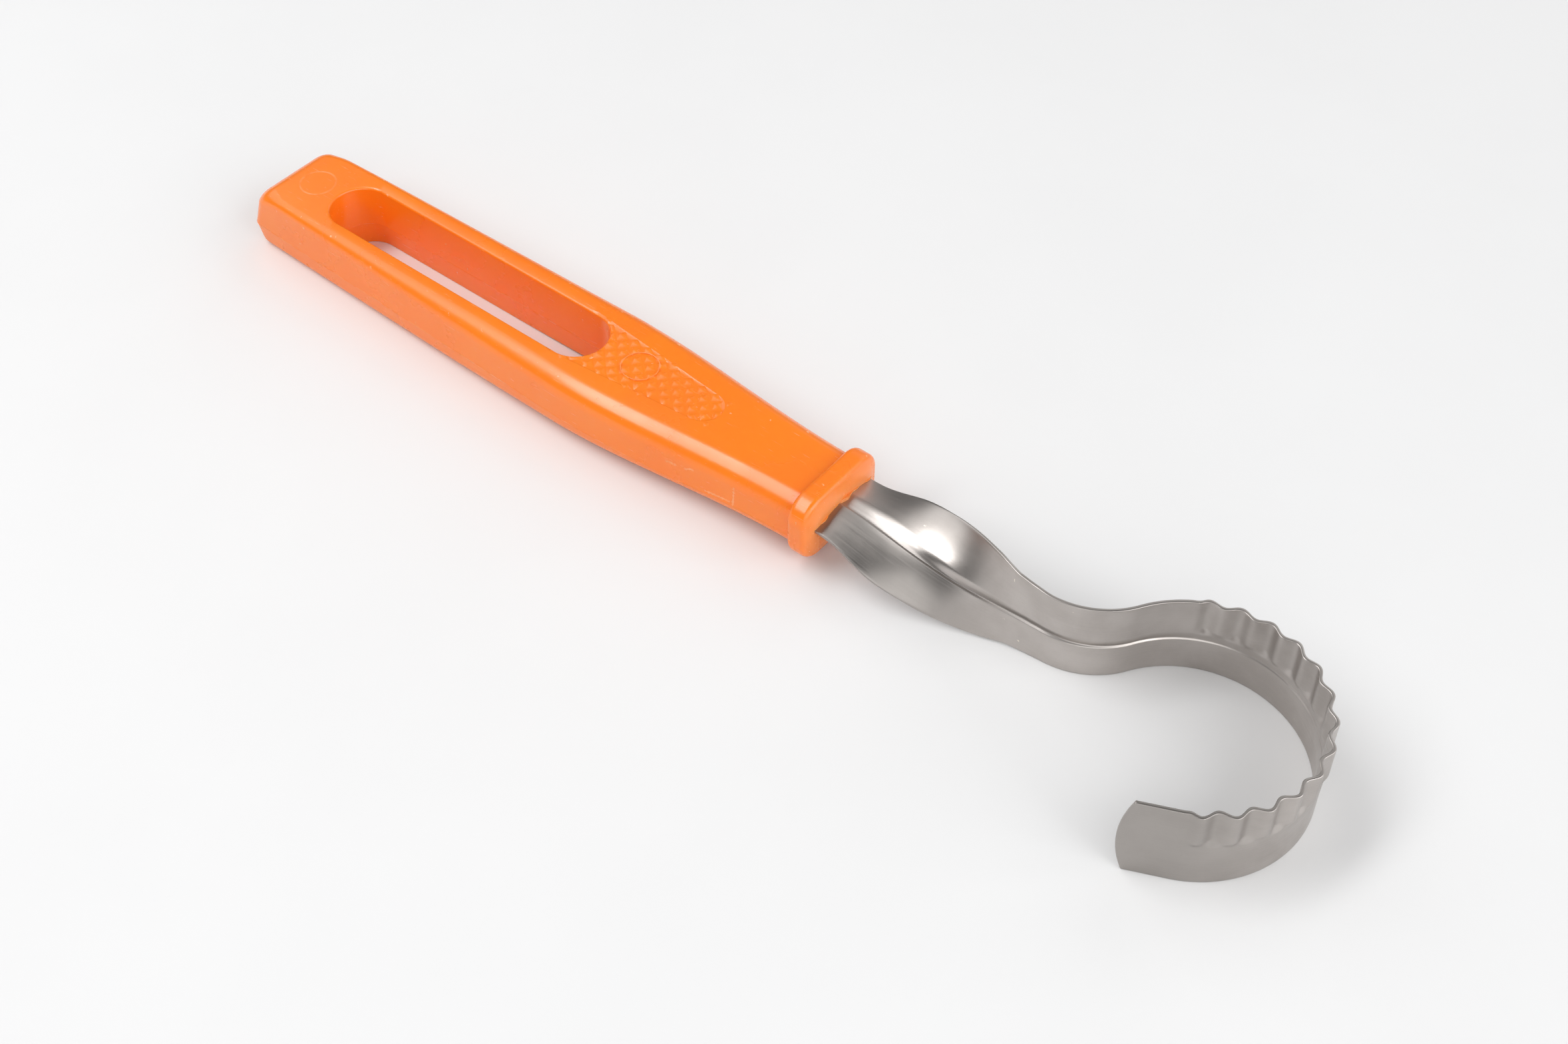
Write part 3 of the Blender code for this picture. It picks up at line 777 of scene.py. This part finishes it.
# %% Thin lines
def make_scratch_line():
    """Mask of one straight scratch between two points, a little ragged along its length."""
    tree, start, end = new_group("scratch_line", [("Vector", 'NodeSocketVector', None),
                                                  ("From", 'NodeSocketVector', None),
                                                  ("To", 'NodeSocketVector', None),
                                                  ("Half Width", 'NodeSocketFloat', 0.0001)], ["Mask"])
    reach = add_vector_math(tree, 'SUBTRACT', start.outputs["To"], start.outputs["From"])
    away = add_vector_math(tree, 'SUBTRACT', start.outputs["Vector"], start.outputs["From"])
    share = add_math(tree, 'DIVIDE', add_vector_math(tree, 'DOT_PRODUCT', away, reach),
                     add_vector_math(tree, 'DOT_PRODUCT', reach, reach), clamp=True)
    gap = add_vector_math(tree, 'DISTANCE', away, add_vector_math(tree, 'SCALE', reach, share))
    ragged = add_noise(tree, start.outputs["Vector"], 3000.0, 2.0)
    width = add_math(tree, 'MULTIPLY', start.outputs["Half Width"],
                     add_range(tree, ragged, 0.35, 0.65, 0.3, 1.5))
    tree.links.new(add_band(tree, gap, width), end.inputs["Mask"])
    return tree


def make_ring_line():
    """Mask of a thin level circle, worn away in places."""
    tree, start, end = new_group("ring_line", [("Vector", 'NodeSocketVector', None),
                                               ("Centre", 'NodeSocketVector', None),
                                               ("Radius", 'NodeSocketFloat', 0.003),
                                               ("Half Width", 'NodeSocketFloat', 0.0002)], ["Mask"])
    away = add_vector_math(tree, 'SUBTRACT', start.outputs["Vector"], start.outputs["Centre"])
    level = add_vector_math(tree, 'LENGTH', add_vector_math(tree, 'MULTIPLY', away, (1.0, 1.0, 0.0)))
    beside = add_math(tree, 'POWER', add_math(tree, 'SUBTRACT', level, start.outputs["Radius"]), 2.0)
    above = add_math(tree, 'POWER', add_axis(tree, away, "Z"), 2.0)
    gap = add_math(tree, 'SQRT', add_math(tree, 'ADD', beside, above))
    worn = add_range(tree, add_noise(tree, start.outputs["Vector"], 400.0, 2.0), 0.35, 0.6, 0.25, 1.0)
    mask = add_math(tree, 'MULTIPLY', add_band(tree, gap, start.outputs["Half Width"]), worn)
    tree.links.new(mask, end.inputs["Mask"])
    return tree


uneven_tone = make_uneven_tone()
small_nicks = make_small_nicks()
scratch_line = make_scratch_line()
ring_line = make_ring_line()
print("node groups:", [tree.name for tree in bpy.data.node_groups])


# %% Helpers for materials
def new_material(name):
    material = bpy.data.materials.new(name)
    material.use_nodes = True
    tree = material.node_tree
    return material, tree, tree.nodes["Principled BSDF"]


def add_group(tree, group, **values):
    """Place a node group, with its inputs linked or set by name."""
    node = tree.nodes.new('ShaderNodeGroup')
    node.node_tree = group
    for name, value in values.items():
        set_input(tree, node.inputs[name.replace("_", " ")], value)
    return node.outputs[0]


def add_bump(tree, height, distance, strength):
    node = tree.nodes.new('ShaderNodeBump')
    node.inputs["Strength"].default_value = strength
    node.inputs["Distance"].default_value = distance
    tree.links.new(height, node.inputs["Height"])
    return node.outputs["Normal"]


# %% [markdown]
# ## Orange moulded plastic
# The handle is polythene-like: a strong orange, a little uneven, with a soft gloss and the pale nicks
# and scratches of years in a drawer. Pale plastic shows where it was bruised, so nicks and scratches
# lighten the colour, roughen the gloss and dent the surface. The nicks sit mostly along the upper
# edges and on the collar, where the handle gets knocked. The parting line and the pin rings are pale
# as well, because they are the first to be rubbed. The front of the collar is painted paler too: that
# is a painted sheen, standing in for the bright sheet that its face mirrors.

# %% Wear on the plastic
SCRATCHES = (((-16.2, -7.85, 4.4), (-12.2, -7.5, 4.7)), ((-11.4, -7.3, 7.6), (-11.6, -7.45, 4.2)),
             ((-22.8, -8.37, 6.5), (-21.0, -8.2, 6.6)), ((-19.6, -8.05, 6.7), (-18.3, -7.95, 7.3)))
PARTING_REACH = 45.0 * MM


def join_masks(tree, masks):
    """The strongest of several masks."""
    joined = masks[0]
    for mask in masks[1:]:
        joined = add_math(tree, 'MAXIMUM', joined, mask)
    return joined


def add_edge_mask(tree, place):
    """1 along the upper edges and on the collar, less elsewhere."""
    high = add_axis(tree, place, "Z")
    rising = add_range(tree, high, HANDLE_TOP - 2.4 * MM, HANDLE_TOP - 0.6 * MM)
    flat = add_range(tree, high, HANDLE_TOP - 0.2 * MM, HANDLE_TOP - 0.02 * MM, 1.0, 0.0)
    collar_zone = add_range(tree, add_axis(tree, place, "X"), COLLAR_X - 2.6 * MM, COLLAR_X - 1.8 * MM)
    return add_math(tree, 'MAXIMUM', add_math(tree, 'MULTIPLY', rising, flat), collar_zone)


def add_plastic_wear(tree, place):
    """Nicks, scratches, the pin rings and the parting line as one mask."""
    masks = [add_group(tree, small_nicks, Vector=place, Spacing=0.0024, Nick_Size=0.00022, Share=0.4)]
    edge_nicks = add_group(tree, small_nicks, Vector=place, Spacing=0.0011, Nick_Size=0.00026, Share=0.35)
    masks.append(add_math(tree, 'MULTIPLY', edge_nicks, add_edge_mask(tree, place)))
    for ends in SCRATCHES:
        start, end = [(COLLAR_X + x * MM, y * MM, z * MM) for x, y, z in ends]
        scratch = add_group(tree, scratch_line, Vector=place, From=start, To=end, Half_Width=0.00022)
        masks.append(add_math(tree, 'MULTIPLY', scratch, 0.6))
    for centre in RING_PLACES:
        ring = add_group(tree, ring_line, Vector=place, Centre=centre, Radius=RING_RADIUS, Half_Width=0.00022)
        masks.append(add_math(tree, 'MULTIPLY', ring, 0.4))
    off_line = add_math(tree, 'SUBTRACT', add_axis(tree, place, "Z"), PARTING_HEIGHT)
    off_line = add_math(tree, 'ABSOLUTE', off_line)
    rear = add_range(tree, add_axis(tree, place, "X"), COLLAR_X - PARTING_REACH,
                     COLLAR_X - PARTING_REACH / 2, 1, 0)
    broken = add_range(tree, add_noise(tree, place, 350.0, 3.0), 0.42, 0.62)
    seam = add_math(tree, 'MULTIPLY', add_band(tree, off_line, PARTING_HALF), rear)
    masks.append(add_math(tree, 'MULTIPLY', seam, add_math(tree, 'MULTIPLY', broken, 0.6)))
    return join_masks(tree, masks)


# %% Make the plastic
ORANGE = (0.98, 0.229, 0.010)
DEEP_ORANGE = (0.97, 0.207, 0.007)
# pale colour of bruised plastic, also used for the painted sheen on the collar's front
PALE_WEAR_AND_SHEEN = (1.0, 0.56, 0.30)
# painted sheen: the span of the collar's front face that is painted paler, for the bright sheet it mirrors
COLLAR_SHEEN_SPAN = (COLLAR_X + 0.8 * MM, COLLAR_X + 1.8 * MM)


def make_plastic():
    material, tree, shader = new_material("orange_moulded_plastic")
    place = tree.nodes.new('ShaderNodeTexCoord').outputs["Object"]
    tone = add_group(tree, uneven_tone, Vector=place, Patch_Size=0.012)
    worn = add_plastic_wear(tree, place)
    stretch = tree.nodes.new('ShaderNodeMapping')
    stretch.inputs["Scale"].default_value = (260.0, 3200.0, 3200.0)
    tree.links.new(place, stretch.inputs["Vector"])
    scuffs = add_range(tree, add_noise(tree, stretch.outputs["Vector"], 1.0, 3.0, 0.6), 0.62, 0.80)
    colour = add_mix(tree, tone, ORANGE, DEEP_ORANGE)
    # painted sheen: the collar's front face is painted paler where it mirrors the bright sheet
    collar_front_sheen = add_range(tree, add_axis(tree, place, "X"), *COLLAR_SHEEN_SPAN, 0.0, 0.16)
    colour = add_mix(tree, collar_front_sheen, colour, PALE_WEAR_AND_SHEEN)
    colour = add_mix(tree, add_math(tree, 'MULTIPLY', scuffs, 0.24), colour, PALE_WEAR_AND_SHEEN)
    colour = add_mix(tree, add_math(tree, 'MULTIPLY', worn, 0.85), colour, PALE_WEAR_AND_SHEEN)
    tree.links.new(colour, shader.inputs["Base Color"])
    gloss = add_range(tree, tone, 0.0, 1.0, 0.22, 0.28)
    for mask, more in ((worn, 0.25), (scuffs, 0.10)):
        gloss = add_math(tree, 'ADD', gloss, add_math(tree, 'MULTIPLY', mask, more))
    tree.links.new(gloss, shader.inputs["Roughness"])
    pebble = add_noise(tree, place, 2600.0, 2.0)
    height = add_math(tree, 'SUBTRACT', add_math(tree, 'MULTIPLY', pebble, 0.05), worn)
    tree.links.new(add_bump(tree, height, 0.00004, 0.6), shader.inputs["Normal"])
    shader.inputs["Specular IOR Level"].default_value = 0.7
    shader.inputs["Subsurface Weight"].default_value = 0.25
    shader.inputs["Subsurface Radius"].default_value = (1.0, 0.35, 0.12)
    shader.inputs["Subsurface Scale"].default_value = 0.003
    return material


plastic = make_plastic()
body.data.materials.clear()
body.data.materials.append(plastic)
print(plastic.name, len(plastic.node_tree.nodes), "nodes")

# %% [markdown]
# ## Rolled steel
# The strip was cut from rolled sheet, so fine grain runs along it, round every bend. The strip's UV
# map holds the distance along and across in metres, so a noise that is stretched along u gives that
# grain. Old steel is never one grey: it has cloudy stains and tiny bright pits. The tip and the near
# side of the leaf by the collar are painted darker: painted dark reflections of the dimmer surroundings
# that these faces mirror.

# %% Make the steel
STEEL = (0.56, 0.524, 0.498)
STAINED_STEEL = (0.46, 0.425, 0.40)
BRIGHT_STEEL = (0.85, 0.80, 0.70)
# painted dark reflections: a darker steel colour and the stretches of the strip that get it
DARK_REFLECTION_STEEL = (0.33, 0.308, 0.29)
TIP_DARK_REFLECTION = (STRIP_END - 22 * MM, STRIP_END - 6 * MM)
LEAF_DARK_REFLECTION, NEAR_FLANK_DARK_REFLECTION = (14 * MM, 27 * MM), (-1.7 * MM, -0.8 * MM)


def make_steel():
    material, tree, shader = new_material("rolled_steel")
    place = tree.nodes.new('ShaderNodeTexCoord').outputs["Object"]
    along = tree.nodes.new('ShaderNodeUVMap')
    along.uv_map = "strip"
    stretch = tree.nodes.new('ShaderNodeMapping')
    stretch.inputs["Scale"].default_value = (90.0, 5200.0, 1.0)
    tree.links.new(along.outputs["UV"], stretch.inputs["Vector"])
    grain = add_noise(tree, stretch.outputs["Vector"], 1.0, 3.0, 0.6)
    mottle = add_noise(tree, place, 3500.0, 2.0)
    tone = add_group(tree, uneven_tone, Vector=place, Patch_Size=0.007)
    nicks = add_group(tree, small_nicks, Vector=place, Spacing=0.0030, Nick_Size=0.00020, Share=0.45)
    blend = add_math(tree, 'MULTIPLY', tone, 0.65)
    for mask, share in ((grain, 0.30), (mottle, 0.22)):
        blend = add_math(tree, 'ADD', blend, add_math(tree, 'MULTIPLY', mask, share))
    colour = add_mix(tree, blend, STEEL, STAINED_STEEL)
    distance = add_axis(tree, along.outputs["UV"], "X")
    # painted dark reflection on the tip and on the near flank of the leaf
    tip_dark_reflection = add_range(tree, distance, *TIP_DARK_REFLECTION, 0.0, 0.7)
    leaf_dark_reflection = add_range(tree, distance, *LEAF_DARK_REFLECTION, 0.65, 0.0)
    near_flank_reflection = add_range(tree, add_axis(tree, along.outputs["UV"], "Y"), *NEAR_FLANK_DARK_REFLECTION, 1.0, 0.0)
    dark_reflection = add_math(tree, 'MAXIMUM', tip_dark_reflection, add_math(tree, 'MULTIPLY', leaf_dark_reflection, near_flank_reflection))
    colour = add_mix(tree, dark_reflection, colour, DARK_REFLECTION_STEEL)
    colour = add_mix(tree, nicks, colour, BRIGHT_STEEL)
    tree.links.new(colour, shader.inputs["Base Color"])
    gloss = add_math(tree, 'ADD', add_range(tree, grain, 0.3, 0.7, 0.27, 0.34),
                     add_math(tree, 'MULTIPLY', tone, 0.08))
    tree.links.new(gloss, shader.inputs["Roughness"])
    shader.inputs["Metallic"].default_value = 1.0
    height = add_math(tree, 'MULTIPLY', grain, 0.5)
    height = add_math(tree, 'ADD', height, add_math(tree, 'MULTIPLY', mottle, 0.3))
    height = add_math(tree, 'SUBTRACT', height, nicks)
    tree.links.new(add_bump(tree, height, 0.00001, 0.18), shader.inputs["Normal"])
    return material


steel = make_steel()
blade.data.materials.append(steel)
print(steel.name, len(steel.node_tree.nodes), "nodes")

# %% [markdown]
# ## Floor, light and camera
# The tool lies on a plain pale sheet. What a glossy thing looks like is mostly what it mirrors, so the
# lamps stand where the steel and the shoulders show that they stood: a broad soft one on the left, a
# narrow bright bar in front of it that draws the crisp lines along the shoulder and the channel, and
# soft ones on the right, the near side and the back. The world is a dim even room.

# %% Make the floor
FLOOR_WHITE = (0.82, 0.82, 0.822)


def make_floor():
    work = bmesh.new()
    bmesh.ops.create_grid(work, x_segments=8, y_segments=8, size=1.6)
    bmesh.ops.translate(work, vec=(0.09, 0, -0.05 * MM), verts=work.verts)
    floor = add_object("floor", work)
    material, tree, shader = new_material("pale_sheet")
    place = tree.nodes.new('ShaderNodeTexCoord').outputs["Object"]
    tone = add_group(tree, uneven_tone, Vector=place, Patch_Size=0.05)
    colour = add_mix(tree, tone, FLOOR_WHITE, tuple(0.985 * value for value in FLOOR_WHITE))
    tree.links.new(colour, shader.inputs["Base Color"])
    shader.inputs["Roughness"].default_value = 0.7
    floor.data.materials.append(material)


make_floor()

# %% Set up the lamps and the world
MIDDLE = Vector((0.09, -0.003, 0.006))


def add_softbox(name, direction, along, distance, size, radiance):
    """A lamp that looks at the tool from the given direction, its long side lying along a vector."""
    lamp = bpy.data.lights.new(name, 'AREA')
    lamp.shape = 'RECTANGLE'
    lamp.size, lamp.size_y = size
    lamp.energy = radiance * pi * size[0] * size[1]
    item = bpy.data.objects.new(name, lamp)
    away = Vector(direction).normalized()
    up = away.cross(Vector(along)).normalized()
    item.matrix_world = Matrix.Translation(MIDDLE + away * distance) @ Matrix((
        up.cross(away), up, away)).transposed().to_4x4()
    bpy.context.scene.collection.objects.link(item)
    print(name, "at", [round(value, 2) for value in item.location])


def make_world():
    world = bpy.data.worlds.new("dim_room")
    world.use_nodes = True
    background = world.node_tree.nodes["Background"]
    background.inputs["Color"].default_value = (1.0, 1.0, 1.0, 1.0)
    background.inputs["Strength"].default_value = 0.14
    bpy.context.scene.world = world


add_softbox("left_softbox", (-0.70, -0.05, 0.71), (0, 1, 0), 0.8, (0.8, 0.7), 1.15)
add_softbox("bar_lamp", (-0.454, -0.36, 0.82), (0.08, -0.89, -0.44), 0.8, (0.78, 0.19), 6.4)
add_softbox("right_softbox", (0.84, 0.16, 0.50), (0, 1, 0), 0.9, (0.8, 0.7), 2.5)
add_softbox("near_softbox", (0.60, -0.62, 0.50), (1, 1, 0), 0.9, (1.1, 0.8), 1.4)
add_softbox("back_softbox", (0.10, 0.85, 0.52), (1, 0, 0), 0.9, (1.0, 0.7), 0.8)
make_world()

# %% [markdown]
# The camera stands where the photograph was taken from: in front of the handle on the hook's side,
# looking down at about 48 degrees. Its place, angles and focal length come from matching the
# outlines of the model with those in the photograph.

# %% Set up the camera


def make_camera():
    lens = bpy.data.cameras.new("camera")
    lens.sensor_width = 36.0
    lens.lens = 45.08
    camera = bpy.data.objects.new("camera", lens)
    camera.location = (0.21102, -0.14461, 0.20339)
    camera.rotation_euler = (radians(41.858), 0.0, radians(38.736))
    bpy.context.scene.collection.objects.link(camera)
    bpy.context.scene.camera = camera


make_camera()
bpy.context.scene.view_settings.view_transform = 'Standard'
